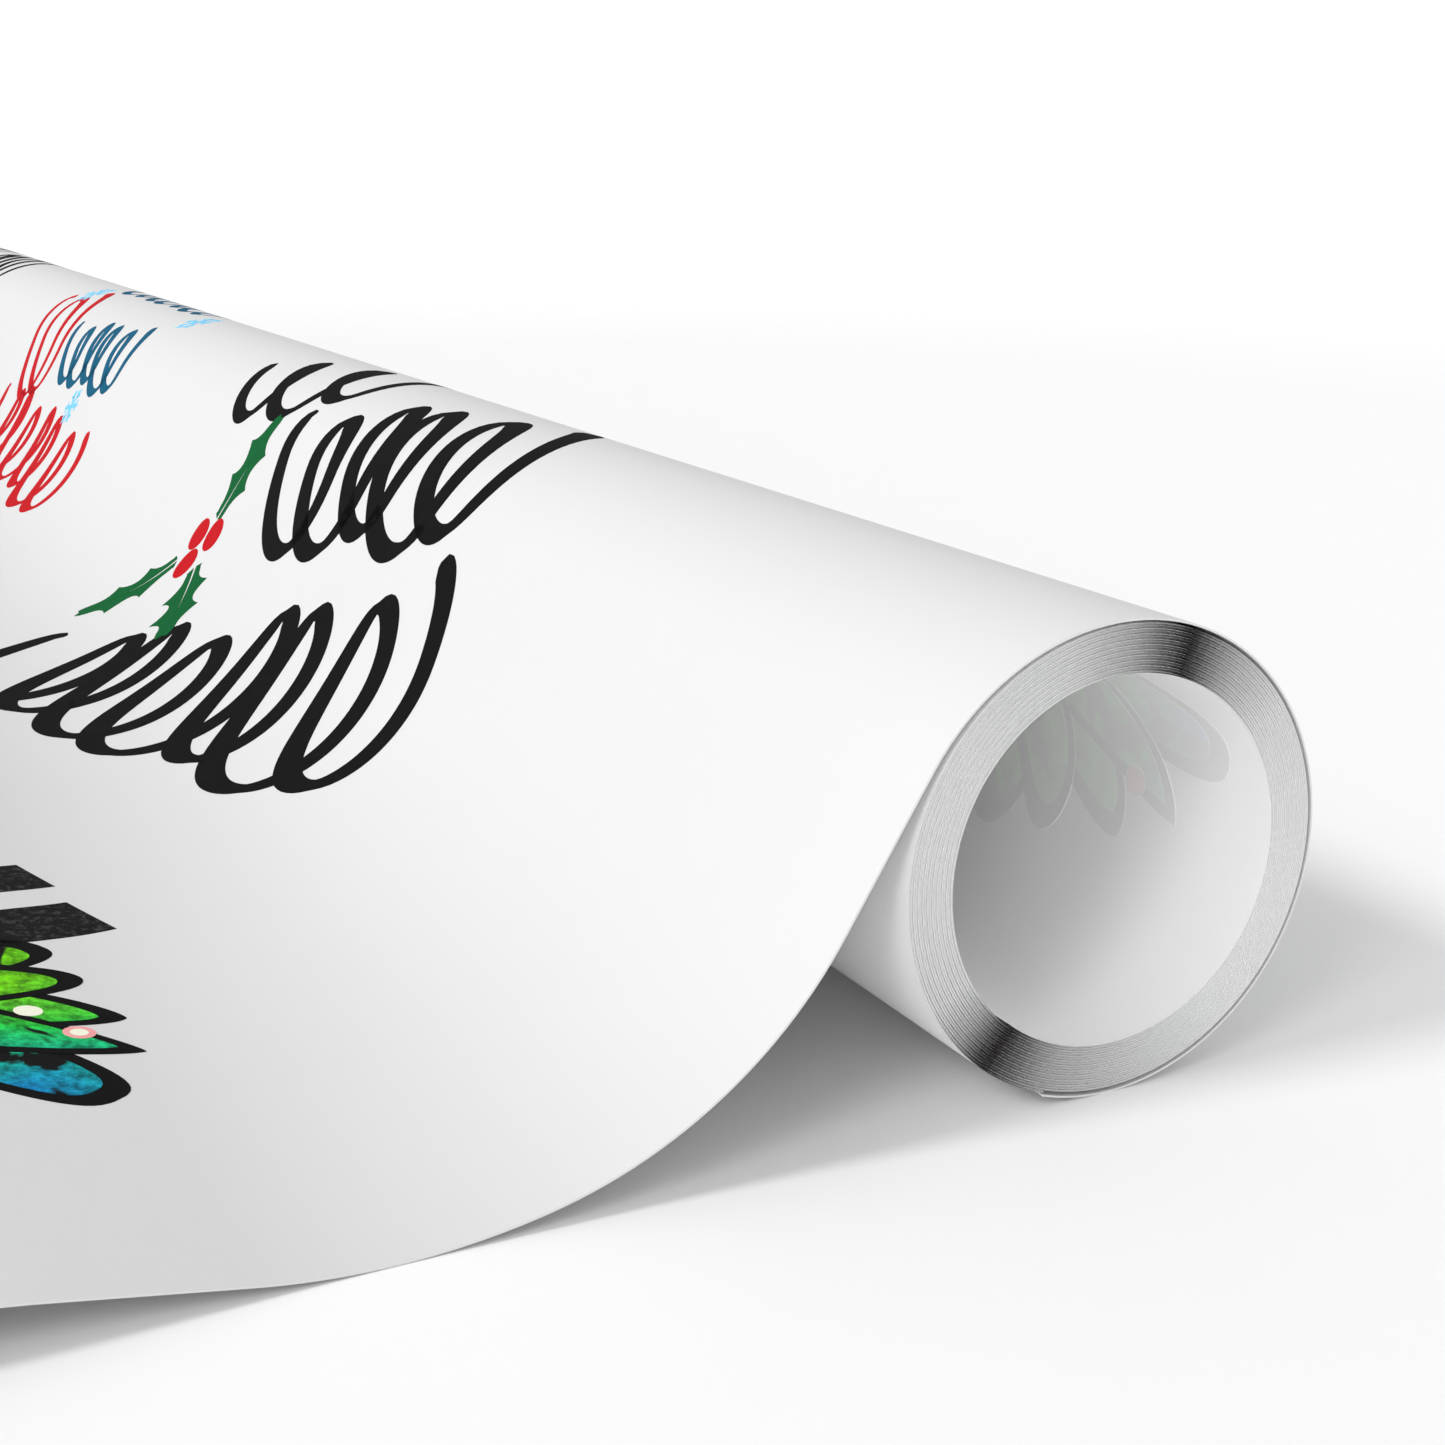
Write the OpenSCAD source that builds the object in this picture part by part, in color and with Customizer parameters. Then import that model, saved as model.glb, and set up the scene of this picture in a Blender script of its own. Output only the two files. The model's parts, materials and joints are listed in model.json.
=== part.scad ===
// Roll of gift wrap with its outer end pulled off and laid on a table.
// X runs along the roll, the sheet leaves towards -Y, and +Z is up.
// The origin is on the roll's axis, halfway along it.

/* [Roll] */
// Width of the paper, which is the length of the roll
sheet_w = 762; // [300:1:1000]
// Diameter of the open bore
bore_d = 39.4; // [25:0.1:60]
// Turns wound between the innermost and the outermost one
wound_count = 18; // [4:1:24]
// Thickness of the paper
paper_t = 0.215; // [0.15:0.005:0.4]
// Air left between two wound turns
wind_gap = 0.055; // [0.03:0.005:0.15]
// Air between the wound turns and the outermost turn
roll_clear = 0.07; // [0.05:0.01:0.5]

/* [Ramp] */
// Angle around the roll at which the sheet leaves it, 90 being the top
leave_angle = 148; // [125:1:155]
// How far the sheet slackens as it comes over the top
slack = 1.1; // [0.2:0.1:3]
// Radius of the bend at the foot of the ramp
ramp_bend_r = 48; // [20:1:60]
// Radius of the softer bend where the sheet meets the table
landing_r = 71; // [40:1:100]
// Slope at which the first bend passes into the second
landing_slope = 12; // [6:1:20]

/* [Tail] */
// Slope of the low wave in the tail
wave_slope = 10.5; // [4:0.5:20]
// Straight length on each side of the wave
wave_side = 17.5; // [5:0.5:40]
// Radius over the top of the wave
crest_r = 89; // [40:1:150]
// Flat length at the front edge, which lies on the table
lip_len = 10; // [5:1:60]

/* [Hidden] */

// Each turn is drawn as this many flats
turn_flats = 48;
flat_angle = 360 / turn_flats;
// Longest flat in a bend of the free sheet
flat_len = 2.5;
paper_white = [0.96, 0.96, 0.95];

// The middle of a flat lies nearer the axis than its ends do. So a radius that goes around another
// wall is divided by flat_in, and the gap to that wall is still whole in the middle of each flat.
flat_in = cos(flat_angle / 2);
bore_r = bore_d / 2;
pitch = paper_t + wind_gap;
wound_r = (bore_r + paper_t) / flat_in + wind_gap;
wound_out_r = wound_r + wound_count * pitch + paper_t;
wrap_r = wound_out_r / flat_in + roll_clear;
// One flat of the outermost turn lies on the table
table_z = -(wrap_r + paper_t) * flat_in;
// The wound turns end and the outermost one starts this many flats short of the bottom of the roll
seam_flats = 2.5;
seam_angle = seam_flats * flat_angle;

// A place on the sheet's path is [y, z, heading], on the side that faces the roll and the table.
// The heading is the way the sheet runs: 0 is +Y, 90 is up and 180 is -Y. The print is on the right.
function ahead(p, d) = [p[0] + d * cos(p[2]), p[1] + d * sin(p[2]), p[2]];
// A turn to the left is positive
function bent(p, r, turn) =
    let (s = r * sign(turn), h = p[2] + turn)
    [p[0] + s * (sin(h) - sin(p[2])), p[1] + s * (cos(p[2]) - cos(h)), h];
function bend(p, r, turn, flats) = [for (i = [1:flats]) bent(p, r, turn * i / flats)];
function free_bend(p, r, turn) = bend(p, r, turn, ceil(r * abs(turn) * PI / 180 / flat_len));
function last(path) = path[len(path) - 1];
function facing(p) = [p[0], p[1]];
function printed(p) = [p[0] + paper_t * sin(p[2]), p[1] - paper_t * cos(p[2])];

// Outermost turn: under the roll, up its back and over the top, where it slackens
wrap_start = [-wrap_r * sin(seam_angle), -wrap_r * cos(seam_angle), -seam_angle];
wrap_flats = turn_flats / 2 + seam_flats - 0.5;
wrap_back = bend(wrap_start, wrap_r, wrap_flats * flat_angle, wrap_flats);
wrap_over = free_bend(last(wrap_back), wrap_r + slack, leave_angle + 90 - last(wrap_back)[2]);
leave = last(wrap_over);

// Ramp: straight down, then two bends that bring it flat onto the table
ramp_slope = leave_angle - 90;
ramp_bend_drop = ramp_bend_r * (cos(landing_slope) - cos(ramp_slope));
landing_drop = landing_r * (1 - cos(landing_slope));
ramp_len = (leave[1] - table_z - ramp_bend_drop - landing_drop) / sin(ramp_slope);
ramp_foot = ahead(leave, ramp_len);
ramp_bend = free_bend(ramp_foot, ramp_bend_r, landing_slope - ramp_slope);
landing = free_bend(last(ramp_bend), landing_r, -landing_slope);
touch = last(landing);

// Tail: up off the table, over a low crest, down again and flat to the front edge
wave_rise = free_bend(touch, landing_r, -wave_slope);
wave_up = ahead(last(wave_rise), wave_side);
wave_crest = free_bend(wave_up, crest_r, 2 * wave_slope);
wave_down = ahead(last(wave_crest), wave_side);
wave_fall = free_bend(wave_down, landing_r, -wave_slope);
front_edge = ahead(last(wave_fall), lip_len);

// Extrudes an outline in the Y-Z plane over the paper's width
module across() {
    rotate([90, 0, 90]) linear_extrude(sheet_w, center = true) children();
}

// Stretch of paper along a path
module strip(path) {
    top_side = [for (i = [len(path) - 1:-1:0]) printed(path[i])];
    color(paper_white) across() polygon(concat([for (p = path) facing(p)], top_side));
}

// Innermost turn: the round wall of the bore
module inner_turn() {
    color(paper_white)
        rotate([0, 90, 0])
            difference() {
                cylinder(h = sheet_w, r = bore_r + paper_t, center = true, $fn = 96);
                cylinder(h = sheet_w + 2, r = bore_r, center = true, $fn = 96);
            }
}

// Turns wound on the innermost one, starting and ending at the seam
module wound_turns() {
    steps = wound_count * turn_flats;
    function spiral(i, side) =
        let (r = wound_r + pitch * i / turn_flats + side, a = i * flat_angle - seam_angle)
        [r * sin(a), -r * cos(a)];
    inside = [for (i = [0:steps]) spiral(i, 0)];
    outside = [for (i = [steps:-1:0]) spiral(i, paper_t)];
    color(paper_white) across() polygon(concat(inside, outside));
}

// Outermost turn, which stays put while the wound turns spin inside it
module outer_turn() {
    strip(concat([wrap_start], wrap_back, wrap_over));
}

// Ramp from the roll down to the table
module free_sheet() {
    strip(concat([leave, ramp_foot], ramp_bend, landing));
}

// End of the sheet, which lies on the table and can be lifted
module tail_sheet() {
    strip(concat([touch], wave_rise, [wave_up], wave_crest, [wave_down], wave_fall, [front_edge]));
}

inner_turn();
wound_turns();
outer_turn();
free_sheet();
tail_sheet();
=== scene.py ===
"""Looks of the wrapping paper roll: paper, its print, and a plain studio."""
import json
import math

import bpy
import numpy as np
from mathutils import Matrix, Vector


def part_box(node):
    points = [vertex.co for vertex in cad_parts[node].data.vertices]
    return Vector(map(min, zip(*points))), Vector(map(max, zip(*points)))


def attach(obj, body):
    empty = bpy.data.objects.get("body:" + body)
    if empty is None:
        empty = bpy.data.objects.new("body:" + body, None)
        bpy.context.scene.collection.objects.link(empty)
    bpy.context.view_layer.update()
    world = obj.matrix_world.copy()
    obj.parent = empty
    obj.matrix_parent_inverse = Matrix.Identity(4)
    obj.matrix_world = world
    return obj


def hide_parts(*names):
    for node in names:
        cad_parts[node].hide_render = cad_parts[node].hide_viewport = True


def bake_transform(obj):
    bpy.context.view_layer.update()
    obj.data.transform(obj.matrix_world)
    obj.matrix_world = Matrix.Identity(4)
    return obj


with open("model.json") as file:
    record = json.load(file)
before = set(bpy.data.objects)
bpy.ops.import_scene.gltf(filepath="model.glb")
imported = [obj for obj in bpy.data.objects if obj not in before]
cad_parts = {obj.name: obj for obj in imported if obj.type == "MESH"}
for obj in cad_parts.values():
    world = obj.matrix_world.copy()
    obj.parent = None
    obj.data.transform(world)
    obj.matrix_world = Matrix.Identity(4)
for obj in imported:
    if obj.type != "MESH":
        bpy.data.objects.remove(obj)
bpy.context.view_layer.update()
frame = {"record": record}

# ---------------------------------------------------------------- sizes, in metres and degrees
MM = 0.001
BORE_R = frame["record"]["mounts"][0]["dims"]["r_mm"] * MM
OUTER_LOW, OUTER_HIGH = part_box("outer_turn")
NEAR_X, FAR_X = OUTER_HIGH.x, OUTER_LOW.x
WIDTH = NEAR_X - FAR_X
TABLE_Z = OUTER_LOW.z

# The paper and the gaps between its turns, as in the CAD part
PAPER_T = 0.215 * MM
WIND_GAP = 0.055 * MM
ROLL_CLEAR = 0.07 * MM
TURN_FLATS = 48         # flats in one turn of the CAD part
FLAT_ANGLE = 360 / TURN_FLATS
SEAM = 2.5 * FLAT_ANGLE  # the outermost turn starts this far short of the roll's lowest line
BACK_FLATS = 26         # flats of the outermost turn from the seam to where it slackens
PITCH = PAPER_T + WIND_GAP
# A flat's middle lies at this share of its ends' distance from the axis
FLAT_IN = math.cos(math.radians(FLAT_ANGLE / 2))
# Inner radius of the outermost turn, and of the wound paper at the seam
WRAP_R = -TABLE_Z / FLAT_IN - PAPER_T
WOUND_END_R = (WRAP_R - ROLL_CLEAR) * FLAT_IN - PAPER_T

# The sheet's path, with the same bends as the CAD part
SLACK = 1.1 * MM
RAMP_SLOPE = 58
RAMP_BEND_R = 48 * MM
LANDING_R = 71 * MM
LANDING_SLOPE = 12
WAVE_SLOPE = 10.5
WAVE_SIDE = 17.5 * MM
CREST_R = 89 * MM
LIP = 10 * MM

ROW = 1.5 * MM          # spacing of the sheet's rows
COLUMN = 8 * MM         # and of its columns
WOUND_STEP = 3          # degrees of roll to each flat of the wound paper
WOUND_COLUMNS = 5       # points along the roll, where the wound paper is straight and needs few
LOOSE = 0.024 * MM      # every other turn lies this much looser
LOOSE_AT = 135          # degrees around the roll, where that shows most
WOUND_T = 0.15 * MM     # the rolled paper is pressed thinner, which leaves a line of air between turns
INNER_EDGE = 21         # degrees around the roll from the innermost cut edge to the seam, plus whole turns
WOUND_TURNS = math.floor((WOUND_END_R - BORE_R) / PITCH) + INNER_EDGE / 360
WOUND_START = -90 - SEAM - 360 * WOUND_TURNS
SHARP = math.radians(35)  # edges bent by more than this are shaded sharp


# ---------------------------------------------------------------- where the paper runs
def arc(radius, turn):
    """A bend of the path: its length and its turn, to the left if positive."""
    return radius * math.radians(abs(turn)), turn


def advance(place, length, turn):
    """The place length metres on, as y, z and heading in degrees."""
    y, z, heading = place
    a, b = math.radians(heading), math.radians(heading + turn)
    if turn:
        r = length / (b - a)
        return y + r * (math.sin(b) - math.sin(a)), z + r * (math.cos(a) - math.cos(b)), heading + turn
    return y + length * math.cos(a), z + length * math.sin(a), heading


def sheet_path():
    """Where the sheet starts, and its bends and straights from the seam to the front edge."""
    seam = math.radians(SEAM)
    start = (-WRAP_R * math.sin(seam), -WRAP_R * math.cos(seam), -SEAM)
    back = arc(WRAP_R, BACK_FLATS * FLAT_ANGLE)
    over = arc(WRAP_R + SLACK, 180 + RAMP_SLOPE + SEAM - back[1])
    leave = advance(advance(start, *back), *over)
    steep, low = math.radians(RAMP_SLOPE), math.radians(LANDING_SLOPE)
    drop = RAMP_BEND_R * (math.cos(low) - math.cos(steep)) + LANDING_R * (1 - math.cos(low))
    ramp = ((leave[1] - TABLE_Z - drop) / math.sin(steep), 0)
    bend = arc(RAMP_BEND_R, LANDING_SLOPE - RAMP_SLOPE)
    landing = arc(LANDING_R, -LANDING_SLOPE)
    rise, crest, side = arc(LANDING_R, -WAVE_SLOPE), arc(CREST_R, 2 * WAVE_SLOPE), (WAVE_SIDE, 0)
    return start, [back, over, ramp, bend, landing, rise, side, crest, side, rise, (LIP, 0)]


def sheet_rows():
    """Rows across the sheet: how far along it each lies, and its y, z and heading."""
    start, stretches = sheet_path()
    rows = [(0.0, *start)]
    for length, turn in stretches:
        v, place = rows[-1][0], rows[-1][1:]
        steps = math.ceil(length / ROW)
        rows += [(v + length * i / steps, *advance(place, length * i / steps, turn * i / steps))
                 for i in range(1, steps + 1)]
    return np.array(rows)


ROWS = sheet_rows()


def on_sheet(u, v, lift):
    """Points of the sheet: u in from the near cut edge, v along it, lift above its underside."""
    y, z, heading = (np.interp(v, ROWS[:, 0], ROWS[:, i]) for i in (1, 2, 3))
    h = np.radians(heading)
    return np.stack([NEAR_X - u, y + lift * np.sin(h), z - lift * np.cos(h)], -1)


def around_roll(u, angle, r):
    """Points around the roll's axis: u in from the near end, angle in degrees, 0 at +Y and 90 up."""
    a = np.radians(angle)
    return np.stack([NEAR_X - u, r * np.cos(a), r * np.sin(a)], -1)


# ---------------------------------------------------------------- meshes
def slab(low, high):
    """A closed slab between two grids of points: its vertices, and its low, high and rim faces."""
    rows, columns = low.shape[:2]
    n = rows * columns
    at = np.arange(n).reshape(rows, columns)
    low_faces = np.stack([at[:-1, :-1], at[1:, :-1], at[1:, 1:], at[:-1, 1:]], -1).reshape(-1, 4)
    ring = np.concatenate([at[0, :-1], at[:-1, -1], at[-1, :0:-1], at[:0:-1, 0]])
    ahead = np.roll(ring, -1)
    rim = np.stack([ring, ahead, ahead + n, ring + n], -1)
    points = np.concatenate([low.reshape(-1, 3), high.reshape(-1, 3)])
    return points, low_faces, low_faces[:, ::-1] + n, rim


def piece(name, points, groups, materials):
    """A mesh object whose groups of faces take the materials in turn."""
    mesh = bpy.data.meshes.new(name)
    faces = np.concatenate(groups)
    mesh.from_pydata(points.tolist(), [], faces.tolist())
    for material in materials:
        mesh.materials.append(material)
    slots = np.repeat(np.arange(len(groups)), [len(g) for g in groups])
    mesh.polygons.foreach_set("material_index", np.minimum(slots, len(materials) - 1))
    mesh.polygons.foreach_set("use_smooth", np.ones(len(faces), bool))
    mesh.set_sharp_from_angle(angle=SHARP)
    obj = bpy.data.objects.new(name, mesh)
    bpy.context.scene.collection.objects.link(obj)
    return obj


# ---------------------------------------------------------------- materials
BUMP_DEPTH = 0.01 * MM
ROUGH_SPREAD = 0.06     # how far the paper's roughness varies
INK_GLOSS = 0.03        # specular level of the inks

# Painted reflection on the roll's cut end: each place around it, as a share of a turn from -Y down and
# round, and the brightness painted there, with two near-black painted dark reflections
END_PAINTED_REFLECTION = [
    (0.0, 0.63), (0.08, 0.63), (0.11, 0.33), (0.13, 0.04), (0.145, 0.006), (0.165, 0.07), (0.2, 0.34),
    (0.27, 0.52), (0.36, 0.7), (0.5, 0.66), (0.6, 0.62), (0.65, 0.4), (0.685, 0.08), (0.7, 0.006),
    (0.722, 0.08), (0.75, 0.33), (0.8, 0.56), (0.9, 0.6), (1.0, 0.63),
]
# How the boughs' colour turns from green to blue
BOUGH_COLORS = [
    (0.0, (0.16, 0.62, 0.01, 1)), (0.4, (0.02, 0.56, 0.06, 1)), (0.7, (0.01, 0.5, 0.28, 1)),
    (1.0, (0.01, 0.2, 0.62, 1)),
]


def grey(value):
    """A colour without a hue."""
    return (value, value, value, 1)


def new_material(name, roughness, specular=0.25):
    """A node material, its shader, and a helper that adds a node and links or sets its inputs."""
    material = bpy.data.materials.new(name)
    material.use_nodes = True
    tree = material.node_tree
    shader = tree.nodes["Principled BSDF"]
    shader.inputs["Roughness"].default_value = roughness
    shader.inputs["Specular IOR Level"].default_value = specular

    def node(kind, inputs=(), **settings):
        made = tree.nodes.new(kind)
        for key, value in settings.items():
            setattr(made, key, value)
        for key, value in dict(inputs).items():
            if isinstance(value, bpy.types.NodeSocket):
                tree.links.new(value, made.inputs[key])
            else:
                made.inputs[key].default_value = value
        return made

    return material, shader, node


def link(shader, socket, value):
    """Links a value to one of the shader's sockets."""
    shader.id_data.links.new(value, shader.inputs[socket])


def object_place(node):
    """Where a point is, in the part's own frame."""
    return node("ShaderNodeTexCoord").outputs["Object"]


def noise(node, place, scale, detail, roughness=0.5, distortion=0):
    """Noise around 0.5, with about scale grains to the metre."""
    inputs = {"Vector": place, "Scale": scale, "Detail": detail, "Roughness": roughness,
              "Distortion": distortion}
    return node("ShaderNodeTexNoise", inputs).outputs["Fac"]


def remap(node, value, before, after=(0, 1)):
    """A value moved from the range before to the range after, and held inside it."""
    inputs = {"Value": value, "From Min": before[0], "From Max": before[1], "To Min": after[0],
              "To Max": after[1]}
    return node("ShaderNodeMapRange", inputs).outputs["Result"]


def math_node(node, operation, *values):
    """The result of one step of arithmetic."""
    return node("ShaderNodeMath", dict(enumerate(values)), operation=operation).outputs[0]


def gradient(node, value, stops):
    """The colour at a value, between stops that are each a value and a colour."""
    ramp = node("ShaderNodeValToRGB", {"Fac": value})
    elements = ramp.color_ramp.elements
    for element, (position, color) in zip(elements, (stops[0], stops[-1])):
        element.position = position
        element.color = color
    for position, color in stops[1:-1]:
        elements.new(position).color = color
    return ramp.outputs["Color"]


def scaled(node, color, factor):
    """A colour made brighter or darker."""
    return node("ShaderNodeVectorMath", {0: color, "Scale": factor}, operation="SCALE").outputs["Vector"]


def mixed(node, share, first, second):
    """The first colour, with a share of the second in it."""
    inputs = {"Factor": share, "A": first, "B": second}
    return node("ShaderNodeMix", inputs, data_type="RGBA").outputs["Result"]


def bumps(node, height, strength):
    """The surface's normal over fine bumps."""
    inputs = {"Height": height, "Strength": strength, "Distance": BUMP_DEPTH}
    return node("ShaderNodeBump", inputs).outputs["Normal"]


def paper(name, tone, roughness, mottle, fibre):
    """Coated paper: a faint cloudiness, and fibres that lift the surface by a few microns."""
    material, shader, node = new_material(name, roughness)
    place = object_place(node)
    cloud = noise(node, place, 22, 3)
    link(shader, "Base Color", remap(node, cloud, (0.3, 0.7), (tone - mottle, tone + mottle)))
    strands = node("ShaderNodeMapping", {"Vector": place, "Scale": (900, 2600, 2600)}).outputs["Vector"]
    fibres = noise(node, strands, 1, 4, 0.65)
    rough = (roughness - ROUGH_SPREAD, roughness + ROUGH_SPREAD)
    link(shader, "Roughness", remap(node, fibres, (0, 1), rough))
    link(shader, "Normal", bumps(node, fibres, fibre))
    return material


def ink(name, color, roughness, speck, speck_color, scale=260):
    """Printed ink: slightly uneven, with a share of paler specks where it is dry."""
    material, shader, node = new_material(name, roughness, INK_GLOSS)
    place = object_place(node)
    share = remap(node, noise(node, place, scale, 5, 0.7), (0.5, 0.75), (0, speck))
    link(shader, "Base Color", mixed(node, share, color, speck_color))
    link(shader, "Normal", bumps(node, noise(node, place, 1400, 2), 0.2))
    return material


def bough_ink(name, green_at, blue_at, pale):
    """Mottled green that turns blue towards the near edge, with black marks, and as pale as asked for."""
    material, shader, node = new_material(name, 0.6, INK_GLOSS)
    place = object_place(node)
    x = node("ShaderNodeSeparateXYZ", {"Vector": place}).outputs["X"]
    inwards = math_node(node, "SUBTRACT", NEAR_X, x)
    repeat = math_node(node, "FLOORED_MODULO", inwards, REPEAT * MM)
    blue = remap(node, repeat, (green_at * MM, blue_at * MM))
    shift = math_node(node, "MULTIPLY_ADD", noise(node, place, 55, 2), 0.5, -0.25)
    color = gradient(node, math_node(node, "ADD", blue, shift), BOUGH_COLORS)
    mottle = remap(node, noise(node, place, 420, 5, 0.75), (0.38, 0.62), (0.35, 1.3))
    mark = remap(node, noise(node, place, 95, 3, distortion=0.6), (0.535, 0.575))
    marked = mixed(node, mark, scaled(node, color, mottle), grey(0.006))
    link(shader, "Base Color", mixed(node, pale, marked, grey(0.98)))
    return material


def cut_end():
    """The roll's cut end: pressed edges with painted reflection in bands around the roll, two dark painted
    reflections, and a random grain.
    """
    material, shader, node = new_material("cut_end", 0.6)
    place = object_place(node)
    axes = node("ShaderNodeSeparateXYZ", {"Vector": place}).outputs
    turn = math_node(node, "ARCTAN2", axes["Z"], axes["Y"])
    share = remap(node, turn, (-math.pi, math.pi))
    # Painted reflection: the brightness is set by the angle around the roll's axis, so it turns with the
    # roll
    tone = gradient(node, share, [(position, grey(value)) for position, value in END_PAINTED_REFLECTION])
    rub = remap(node, noise(node, place, 1500, 2), (0, 1), (0.93, 1.07))
    link(shader, "Base Color", scaled(node, tone, rub))
    return material


# ---------------------------------------------------------------- the paper
def sheet_paper(materials):
    """The outermost turn, the ramp and the tail, as one sheet from the seam to the front edge."""
    columns = np.linspace(0, WIDTH, round(WIDTH / COLUMN) + 1)
    u, v = np.meshgrid(columns, ROWS[:, 0])
    points, back, front, rim = slab(on_sheet(u, v, 0), on_sheet(u, v, PAPER_T))
    sheet = piece("sheet_paper", points, [back, front, rim], materials)
    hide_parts("outer_turn", "free_sheet", "tail_sheet")
    return sheet


def wound_radius(angle):
    """Radius of the wound paper's inner side at an angle, which runs from WOUND_START to the seam."""
    turns = (angle - WOUND_START) / 360
    loose = LOOSE * np.cos(np.radians((angle - LOOSE_AT) / 2))
    # It fades out over half a turn at each end
    ends = np.minimum(1, 2 * np.minimum(turns, WOUND_TURNS - turns))
    return WOUND_END_R - PITCH * (WOUND_TURNS - turns) + loose * ends


def wound_paper(materials):
    """The rest of the paper, wound from its cut edge in the bore out to the seam."""
    steps = math.ceil(WOUND_TURNS * 360 / WOUND_STEP)
    angle = np.linspace(WOUND_START, WOUND_START + 360 * WOUND_TURNS, steps + 1)
    r = wound_radius(angle)
    u, angle = np.meshgrid(np.linspace(0, WIDTH, WOUND_COLUMNS), angle)
    low, high = around_roll(u, angle, r[:, None]), around_roll(u, angle, r[:, None] + WOUND_T)
    points, back, front, rim = slab(low, high)
    wound = piece("wound_paper", points, [back, front, rim], materials)
    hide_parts("inner_turn", "wound_turns")
    return wound


# ---------------------------------------------------------------- the print, laid out in mm
# A place in the print is (u, v): u in from the near cut edge, v along the sheet from the seam.
FILM = 0.035 * MM       # lowest film of ink
FILM_STEP = 0.02 * MM   # each later layer stands this much higher
FINE = 1.2              # longest step of a film, so that it follows the paper's bends
REPEAT = 320            # from one fan of boughs to the next

# Rows of curls
STROKE_LEAN = 118       # degrees, the way that the strokes of a row stand
CURL = 0.27             # how far a curl loops back, as a share of its height
SWAY = 0.62             # how often the curls grow and shrink, for each curl
NIB = 40                # degrees, how the brush is held
THIN_STROKE = 0.45      # the thinnest stroke, as a share of the thickest
TIP = 0.05              # keeps the ends of a stroke from closing to a point

BERRY_R = 3.6
FLAKE_TURN = 12         # degrees, how far a snowflake is turned
LIGHT_R = 1.8           # radius of a light on the boughs
OUTLINE = 1.7           # width of a bough's black outline
TIP_OUTLINE = 1.8 * OUTLINE  # and at the bough's tip
# A fan of boughs, from the near edge inwards: each one's tip, width, sweep and bluntness
BOUGHS = [
    ((-29, -23.6), 14.5, -2, 4.5), ((-16.5, -29), 18, 3, 1.9), ((-6.5, -29), 17, -6, 2.3),
    ((6.5, -26.5), 15, -6, 3), ((17.5, -24), 14, -8, 4),
]

# Where a fan of boughs shows through the innermost turn: how far in, at how many degrees around the
# bore, and by how many degrees it is askew
GHOST_DEPTH = 42 * MM
GHOST_ANGLE = 47.6
GHOST_ASKEW = -24


def unit(angle):
    """The direction at an angle in degrees."""
    a = np.radians(angle)
    return np.stack([np.cos(a), np.sin(a)], -1)


def films(bands, place, inwards=False):
    """Closed films of ink between pairs of edges: their points, and their faces."""
    points, faces, count = [], [], 0
    for left, right, layer in bands:
        gap = np.linalg.norm(left - right, axis=1).max()
        t = np.linspace(0, 1, max(2, math.ceil(gap / FINE) + 1))[None, :, None]
        flat = left[:, None] * (1 - t) + right[:, None] * t
        along, across = np.diff(flat, axis=0)[:, :-1], np.diff(flat, axis=1)[:-1]
        # The faces look outwards only if every band goes round the same way
        if np.sum(across[..., 0] * along[..., 1] - across[..., 1] * along[..., 0]) < 0:
            flat = flat[:, ::-1]
        u, v = flat[..., 0] * MM, flat[..., 1] * MM
        made, *sides = slab(place(u, v, 0), place(u, v, FILM + FILM_STEP * layer))
        points.append(made)
        faces.append(np.concatenate(sides) + count)
        count += len(made)
    faces = np.concatenate(faces)
    return np.concatenate(points), faces[:, ::-1] if inwards else faces


def on_print(u, v, lift):
    """Points of the sheet: as on_sheet, with lift above its printed side."""
    return on_sheet(u, v, PAPER_T + lift)


def in_bore(u, v, lift):
    """Points on the bore's wall, where the print of that turn lies askew."""
    a = math.radians(GHOST_ASKEW)
    depth = GHOST_DEPTH + u * math.cos(a) - v * math.sin(a)
    angle = GHOST_ANGLE + np.degrees((v * math.cos(a) + u * math.sin(a)) / BORE_R)
    first_turn = WOUND_START + (angle - WOUND_START) % 360
    return around_roll(depth, angle, wound_radius(first_turn) - lift)


def lengths(line):
    """How far along a line each of its points lies."""
    return np.concatenate([[0], np.cumsum(np.linalg.norm(np.diff(line, axis=0), axis=1))])


def brush(line, thick, thin, nib, layer=0):
    """A brush stroke: broad across the nib's angle, narrow along it, round at both ends."""
    run = lengths(line)
    even = np.linspace(0, run[-1], math.ceil(run[-1] / FINE) + 1)
    line = np.stack([np.interp(even, run, line[:, i]) for i in (0, 1)], -1)
    step = np.gradient(line, axis=0)
    heading = np.degrees(np.arctan2(step[:, 1], step[:, 0]))
    half = (thin + (thick - thin) * np.abs(np.sin(np.radians(heading - nib)))) / 2
    to_end = np.minimum(even, even[-1] - even) + TIP
    cap = np.clip(to_end / half, 0, 1)
    side = unit(heading + 90) * (half * np.sqrt(1 - (1 - cap) ** 2))[:, None]
    return line + side, line - side, layer


def disc(u, v, r, layer):
    """A round film, as a band between its two halves, which stop just short of each other."""
    a = np.linspace(8, 172, 13)
    return unit(a) * r + (u, v), unit(-a) * r + (u, v), layer


def flourish(u, v, length, height, loops, thick, slant, layer=0):
    """A row of brush-drawn ribbon curls that starts at u, v, runs away from the near edge and gets lower."""
    t = np.linspace(0, 1, 90 * loops + 1)
    turn = 2 * math.pi * loops * t
    size = 0.87 - 0.1 * t + 0.12 * np.cos(SWAY * turn)
    along = length * (t + 0.02 * np.sin(SWAY * turn)) - height * CURL * np.sin(turn) * size
    up = -height / 2 * np.cos(turn) * size
    line = (u, v) + along[:, None] * unit(slant) + up[:, None] * unit(STROKE_LEAN)
    return brush(line, thick, thick * THIN_STROKE, NIB, layer)


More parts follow.
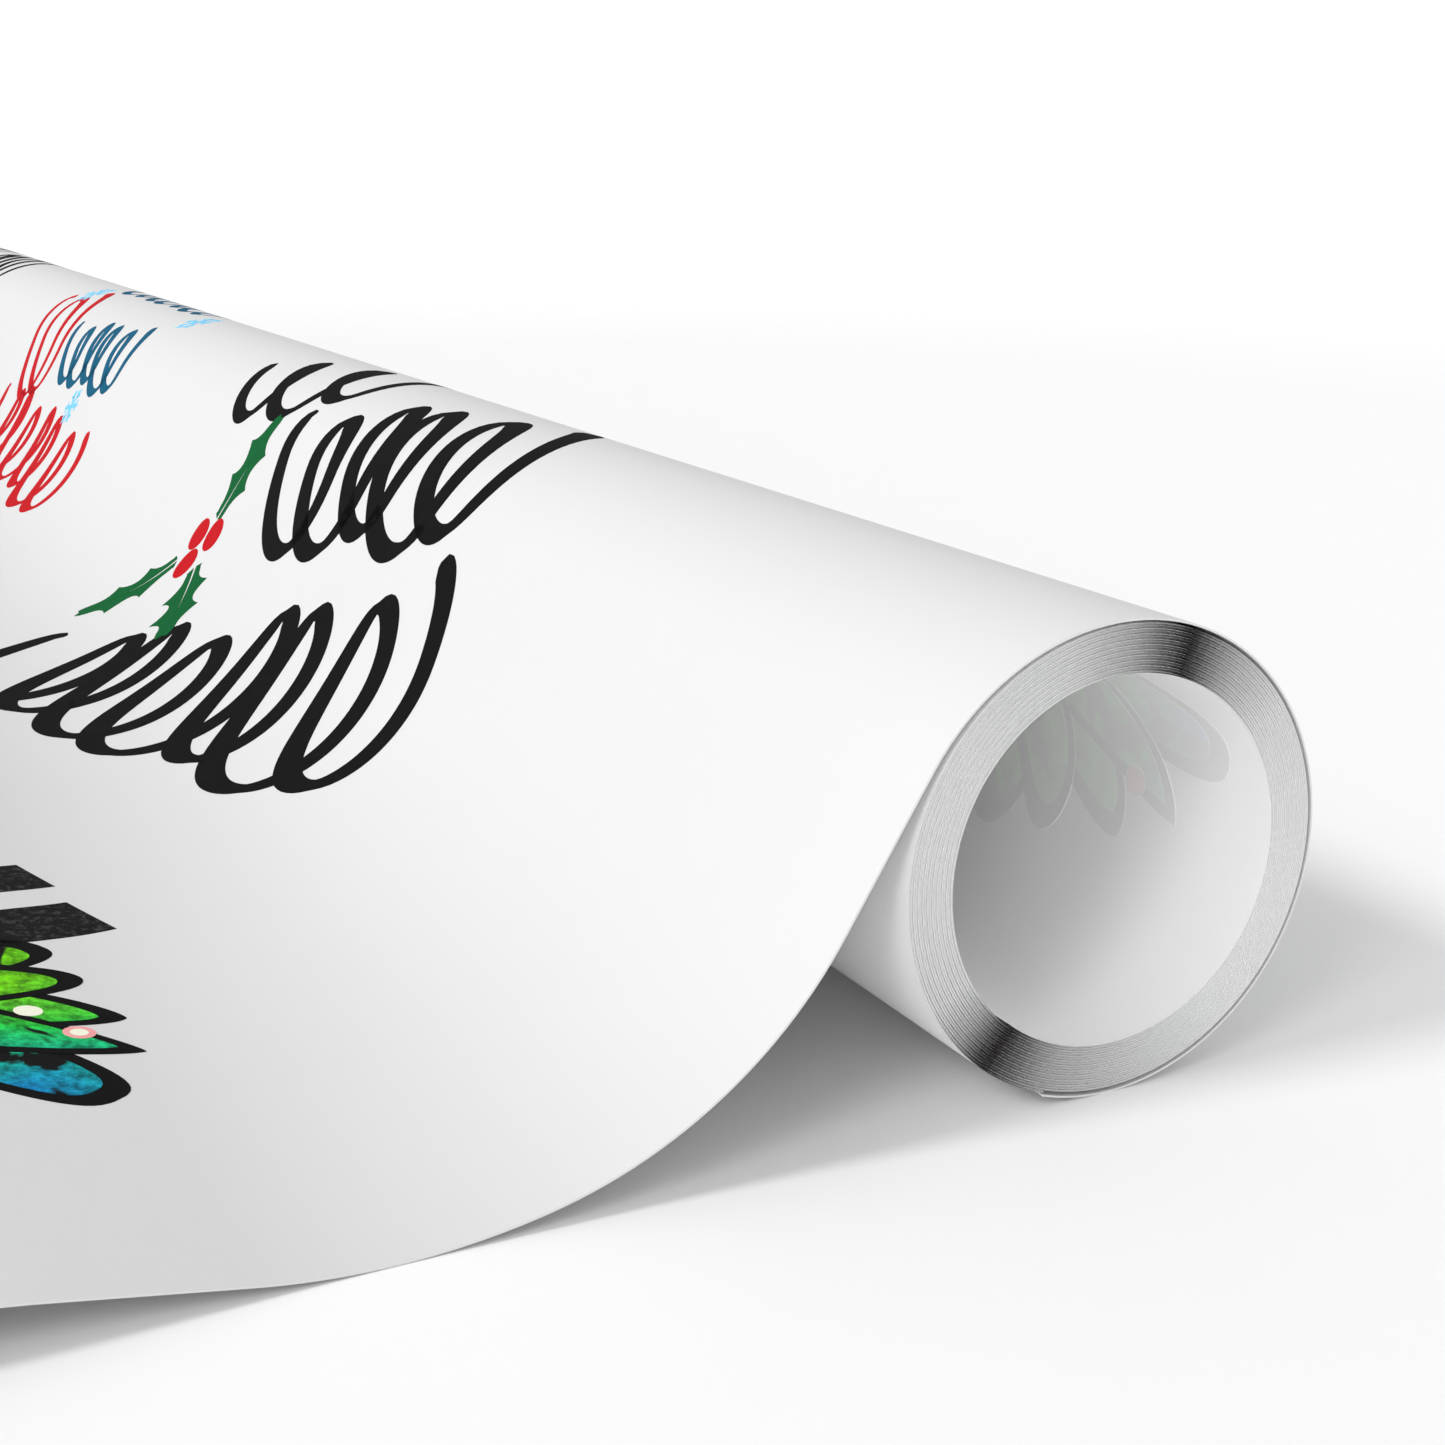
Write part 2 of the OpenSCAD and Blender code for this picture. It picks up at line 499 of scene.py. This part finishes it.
def holly_leaf(base, tip, width):
    """The two halves of a holly leaf, either side of a pale rib."""
    base, tip = np.array(base, float), np.array(tip, float)
    t = np.linspace(0, 1, 25)
    along = tip - base
    side = np.array([-along[1], along[0]]) / np.linalg.norm(along)
    spikes = 1 - 0.5 * np.abs(np.sin(3 * math.pi * t)) ** 0.8
    half = width / 2 * spikes * np.sin(math.pi * np.clip(t, 0.03, 0.99)) ** 0.45
    rib = 0.35 * np.clip(1 - t / 0.65, 0, 1) + 0.02
    line = base + t[:, None] * along
    reach = line + along * (spikes - 0.6)[:, None] * 0.06
    return [(line + side * (s * rib)[:, None], reach + side * (s * np.maximum(half, rib + 0.05))[:, None], 1)
            for s in (1, -1)]


def holly(u, v):
    """Three leaves around three berries: the leaves' bands, and the berries'."""
    leaves = holly_leaf((u - 1, v - 6), (u - 4, v - 29), 13)
    leaves += holly_leaf((u + 6, v + 5), (u + 19, v + 26), 12)
    leaves += holly_leaf((u - 6, v + 4), (u - 23, v + 18), 13)
    berries = [disc(u + du, v + dv, BERRY_R, 2) for du, dv in [(4, -1.6), (-4, -3), (0, 4.6)]]
    return leaves, berries


def snowflake(u, v, r):
    """Six arms, each with a pair of twigs."""
    bands = []
    for i in range(6):
        angle = 60 * i + FLAKE_TURN
        arm = unit(angle) * r
        bands.append(brush(np.linspace((u, v), (u, v) + arm, 7), 1.1, 1.1, 0, 2))
        for turn in (-48, 48):
            knee = (u, v) + arm * 0.55
            twig = unit(angle + turn) * r * 0.38
            bands.append(brush(np.linspace(knee, knee + twig, 5), 0.9, 0.9, 0, 2))
    return bands


def bough(base, tip, width, sweep, blunt):
    """One bough, narrow at its base, and rounder at its tip the higher blunt is: its line and half width."""
    base, tip = np.array(base, float), np.array(tip, float)
    along = tip - base
    side = np.array([-along[1], along[0]]) / np.linalg.norm(along)
    # The points lie closer together near the base and the tip
    t = ((1 - np.cos(np.linspace(0, math.pi, 34))) / 2)[:, None]
    body = np.minimum(1, 0.12 + t / 0.4) * (1 - np.minimum(t, 0.9995) ** blunt) ** (1.5 / blunt)
    return base + t * along + side * sweep * (t ** 2 - t), side * body * width / 2


def inked_bough(layer, base, tip, width, sweep, blunt):
    """A bough's black outline, and its coloured inside, which stops short of the outline all round."""
    line, half = bough(base, tip, width, sweep, blunt)
    outline = (line + half, line - half, layer)
    reach = np.subtract(tip, base)
    short = tip - reach / np.linalg.norm(reach) * TIP_OUTLINE
    line, half = bough(base, short, width - 2 * OUTLINE, sweep, blunt)
    return outline, (line + half, line - half, layer + 1)


def bough_fan(u, v):
    """Five boughs about u, v: their outlines, their insides, and the places of two lights."""
    outlines, fills = [], []
    for i, ((du, dv), *form) in enumerate(BOUGHS):
        outline, fill = inked_bough(2 * (i % 2), (u - du * 0.15, v + 8), (u + du, v + dv), *form)
        outlines.append(outline)
        fills.append(fill)
    return outlines, fills, [(u - 10.7, v - 23), (u - 4, v - 18.7)]


def bars(u, v):
    """Two broad, dry brush bars."""
    bands = []
    for du, dv, width in [(0, 0, 12), (17, 4, 10)]:
        line = np.linspace((u + du, v + dv), (u + du - 15, v + dv + 42), 40)
        side = unit(20) * width / 2
        bands.append((line + side, line - side, 0))
    return bands


# ---------------------------------------------------------------- the whole print
def curl_group(u, v):
    """Three rows of black curls, with holly beside them."""
    leaves, berries = holly(u + 45, v + 6)
    rows = [
        flourish(u + 21, v - 44, 56, 26, 3, 4.4, 20),
        flourish(u - 60, v - 32, 80, 38, 5, 5.2, 14),
        flourish(u - 76, v + 7, 126, 44, 7, 5.4, 20),
    ]
    return {"black": rows, "green": leaves, "red": berries}


def frost_group(u, v):
    """Rows of teal and red curls among snowflakes."""
    teal = [flourish(u - 40, v - 35, 88, 10, 7, 2.8, 1), flourish(u - 46, v - 8, 62, 24, 5, 3.4, 4)]
    red = [flourish(u - 56, v + 26, 112, 30, 7, 3.8, -2, 1), flourish(u + 37, v - 6, 19, 46, 2, 3.4, 6, 1)]
    flakes = snowflake(u + 56, v - 24, 6) + snowflake(u - 55, v - 27, 6) + snowflake(u - 20, v + 9, 5.5)
    return {"teal": teal, "red": red, "sky": flakes}


def bough_group(u, v):
    """A fan of boughs with small lights, and two broad bars beside it."""
    outlines, fills, (pink, yellow) = bough_fan(u, v)
    return {
        "black": outlines,
        "boughs": fills,
        "lights": [disc(*pink, LIGHT_R, 4)],
        "glow": [disc(*pink, 1, 5), disc(*yellow, 1.6, 4)],
        "bars": bars(u + 29, v - 32),
    }


def edge_group(u, v):
    """One row of curls, with holly and snowflakes, for the strip at the back of the roll."""
    leaves, berries = holly(u + 62, v)
    return {
        "black": [flourish(u - 60, v - 8, 92, 30, 5, 4.8, 12)],
        "teal": [flourish(u - 150, v - 2, 62, 24, 5, 3.4, 8)],
        "sky": snowflake(u - 76, v - 6, 6) + snowflake(u + 34, v - 24, 6),
        "green": leaves,
        "red": berries,
    }


# Where each group stands on the sheet
GROUPS = [
    (curl_group, [(198, 131), (671, 122), (565, 222)]),
    (frost_group, [(420, 118), (270, 240)]),
    (bough_group, [(70, 225), (70 + REPEAT, 240), (70 + 2 * REPEAT, 240)]),
    (edge_group, [(170, 38), (420, 38), (670, 38)]),
]


def print_layers(inks):
    """Every band of the print, by ink."""
    layers = {name: [] for name in inks}
    for group, places in GROUPS:
        for place in places:
            for name, bands in group(*place).items():
                layers[name] += bands
    return layers


def print_inks():
    """One piece to each ink, on the sheet."""
    materials = {
        "black": ink("black_ink", grey(0.006), 0.7, 0.3, grey(0.012)),
        "red": ink("red_ink", (0.5, 0.006, 0.012, 1), 0.6, 0.2, (0.62, 0.015, 0.025, 1)),
        "green": ink("green_ink", (0.003, 0.105, 0.028, 1), 0.6, 0.3, (0.006, 0.16, 0.045, 1)),
        "teal": ink("teal_ink", (0.004, 0.095, 0.18, 1), 0.6, 0.2, (0.015, 0.18, 0.3, 1)),
        "sky": ink("sky_ink", (0.2, 0.62, 0.9, 1), 0.55, 0.2, (0.5, 0.8, 0.95, 1)),
        "bars": ink("dry_black_ink", grey(0.007), 0.6, 0.8, grey(0.1), 900),
        "boughs": bough_ink("bough_ink", 77, 41, 0),
        "lights": ink("light_ink", (0.9, 0.38, 0.38, 1), 0.6, 0.5, (0.95, 0.7, 0.65, 1)),
        "glow": ink("glow_ink", (0.92, 0.93, 0.75, 1), 0.6, 0.6, (0.95, 0.95, 0.88, 1)),
    }
    made = []
    for name, bands in print_layers(materials).items():
        points, faces = films(bands, on_print)
        obj = piece("print_" + name, points, [faces], [materials[name]])
        made.append(obj)
    return made


def show_through():
    """The print on the outside of the innermost turn, faintly seen from inside the bore."""
    outlines, fills, (pink, _) = bough_fan(0, 0)
    black = ink("pale_black_ink", grey(0.86), 0.7, 0.3, grey(0.9))
    green = bough_ink("pale_bough_ink", 40, 8, 0.9)
    light = ink("pale_light_ink", (0.95, 0.905, 0.9, 1), 0.7, 0.3, grey(0.94))
    parts = {
        "black": (outlines, black),
        "boughs": (fills, green),
        "lights": ([disc(*pink, LIGHT_R, 4)], light),
    }
    for name, (bands, material) in parts.items():
        points, faces = films(bands, in_bore, inwards=True)
        obj = piece("show_through_" + name, points, [faces], [material])
        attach(obj, "roll")


# ---------------------------------------------------------------- studio
FLOOR_SIZE = 60
FLOOR_T = 0.05
FLOOR_TONE = 0.93
FLOOR_GRAIN = 0.004     # how far its tone varies
FADE_FROM, FADE_TO = 0.45, 1.2  # distances over which the floor fades to white
FADE_GLOW = 0.16        # how strongly it glows from there on
ROOM_LIGHT = 0.64       # how strongly the room lights the part
ROOM_SEEN = 1.05        # and how bright the camera sees it
# The soft suns: name, azimuth, elevation, strength, and how many degrees wide each looks
SUNS = [("key_light", -6, 40, 1.35, 12), ("side_light", 30, 35, 0.6, 20), ("fill_light", 59, 3, 0.82, 25)]
SUN_AWAY = 2

CAMERA_FROM_END = Vector((163.35, -128.06, 72.46)) * MM
CAMERA_AZIMUTH = 63.07
CAMERA_ELEVATION = 15.79
CAMERA_LENS = 52.94
CAMERA_SENSOR = 36


def back_vector(azimuth, elevation):
    """The direction towards a place seen from the part: azimuth 0 is -Y, and 90 is +X."""
    a, e = math.radians(azimuth), math.radians(elevation)
    return Vector((math.sin(a) * math.cos(e), -math.cos(a) * math.cos(e), math.sin(e)))


def aimed(name, data, place, azimuth, elevation):
    """Puts a camera or a light at a place, looking back along a direction."""
    obj = bpy.data.objects.new(name, data)
    obj.location = place
    obj.rotation_mode = "QUATERNION"
    obj.rotation_quaternion = (-back_vector(azimuth, elevation)).to_track_quat("-Z", "Y")
    bpy.context.scene.collection.objects.link(obj)
    return obj


def camera():
    """The camera, placed from the middle of the roll's near end."""
    data = bpy.data.cameras.new("camera")
    data.lens = CAMERA_LENS
    data.sensor_width = CAMERA_SENSOR
    data.clip_start = 0.01
    data.clip_end = FLOOR_SIZE
    eye = aimed("camera", data, Vector((NEAR_X, 0, 0)) + CAMERA_FROM_END, CAMERA_AZIMUTH, CAMERA_ELEVATION)
    bpy.context.scene.camera = eye


def sun(name, azimuth, elevation, strength, width):
    """A soft sun that shines at the roll's near end from that side."""
    data = bpy.data.lights.new(name, "SUN")
    data.energy = strength
    data.angle = math.radians(width)
    place = Vector((NEAR_X, 0, 0)) + back_vector(azimuth, elevation) * SUN_AWAY
    aimed(name, data, place, azimuth, elevation)


def surround():
    """An even white room. The camera sees it as bright as the floor far off."""
    world = bpy.data.worlds.new("studio")
    world.use_nodes = True
    tree = world.node_tree
    path = tree.nodes.new("ShaderNodeLightPath")
    seen = tree.nodes.new("ShaderNodeMapRange")
    seen.inputs["To Min"].default_value = ROOM_LIGHT
    seen.inputs["To Max"].default_value = ROOM_SEEN
    tree.links.new(path.outputs["Is Camera Ray"], seen.inputs["Value"])
    tree.links.new(seen.outputs["Result"], tree.nodes["Background"].inputs["Strength"])
    tree.nodes["Background"].inputs["Color"].default_value = grey(1)
    bpy.context.scene.world = world


def floor():
    """A pale floor under the sheet, plain near the roll and fading to white away from it."""
    material, shader, node = new_material("studio_floor", 0.9, 0.1)
    place = object_place(node)
    tones = (FLOOR_TONE - FLOOR_GRAIN, FLOOR_TONE + FLOOR_GRAIN)
    link(shader, "Base Color", remap(node, noise(node, place, 40, 2), (0, 1), tones))
    away = node("ShaderNodeVectorMath", {0: place}, operation="LENGTH").outputs["Value"]
    shader.inputs["Emission Color"].default_value = grey(1)
    link(shader, "Emission Strength", remap(node, away, (FADE_FROM, FADE_TO), (0, FADE_GLOW)))
    grid = np.linspace(-FLOOR_SIZE / 2, FLOOR_SIZE / 2, 15)
    x, y = np.meshgrid(grid, grid)
    top = np.stack([x, y, np.full_like(x, -WRAP_R - PAPER_T)], -1)
    points, low, high, rim = slab(top - (0, 0, FLOOR_T), top)
    piece("studio_floor", points, [high, low, rim], [material])


def studio():
    """The room, the floor and the lights."""
    bpy.context.scene.view_settings.view_transform = "Standard"
    surround()
    floor()
    for settings in SUNS:
        sun(*settings)


# ---------------------------------------------------------------- the scene
camera()
studio()
PRINTED = paper("printed_paper", 0.7, 0.45, 0.004, 0.25)
# Painted shade: the sheet's back is darker than its printed side, which darkens the ramp's underside, the
# floor under it and the lifted tail
SHEET_BACK_PAINTED_SHADE = paper("sheet_back_painted_shade", 0.6, 0.7, 0.006, 0.4)
# Painted light: the wound paper, inside and out, is far brighter than the sheet's paper, which lifts the
# bore wall and the roll's side under the ramp
WOUND_PAINTED_LIGHT = paper("wound_painted_light", 0.97, 0.7, 0.006, 0.4)
EDGE = paper("cut_edge", 0.70, 0.7, 0.02, 0.6)
# The sheet's back faces carry painted shade
SHEET = sheet_paper([SHEET_BACK_PAINTED_SHADE, PRINTED, EDGE])
# The wound paper carries painted light on both sides, and painted reflection on its cut ends
WOUND = wound_paper([WOUND_PAINTED_LIGHT, WOUND_PAINTED_LIGHT, cut_end()])
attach(WOUND, "roll")
show_through()
INKS = print_inks()
for PIECE in [SHEET, *INKS]:
    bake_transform(PIECE)
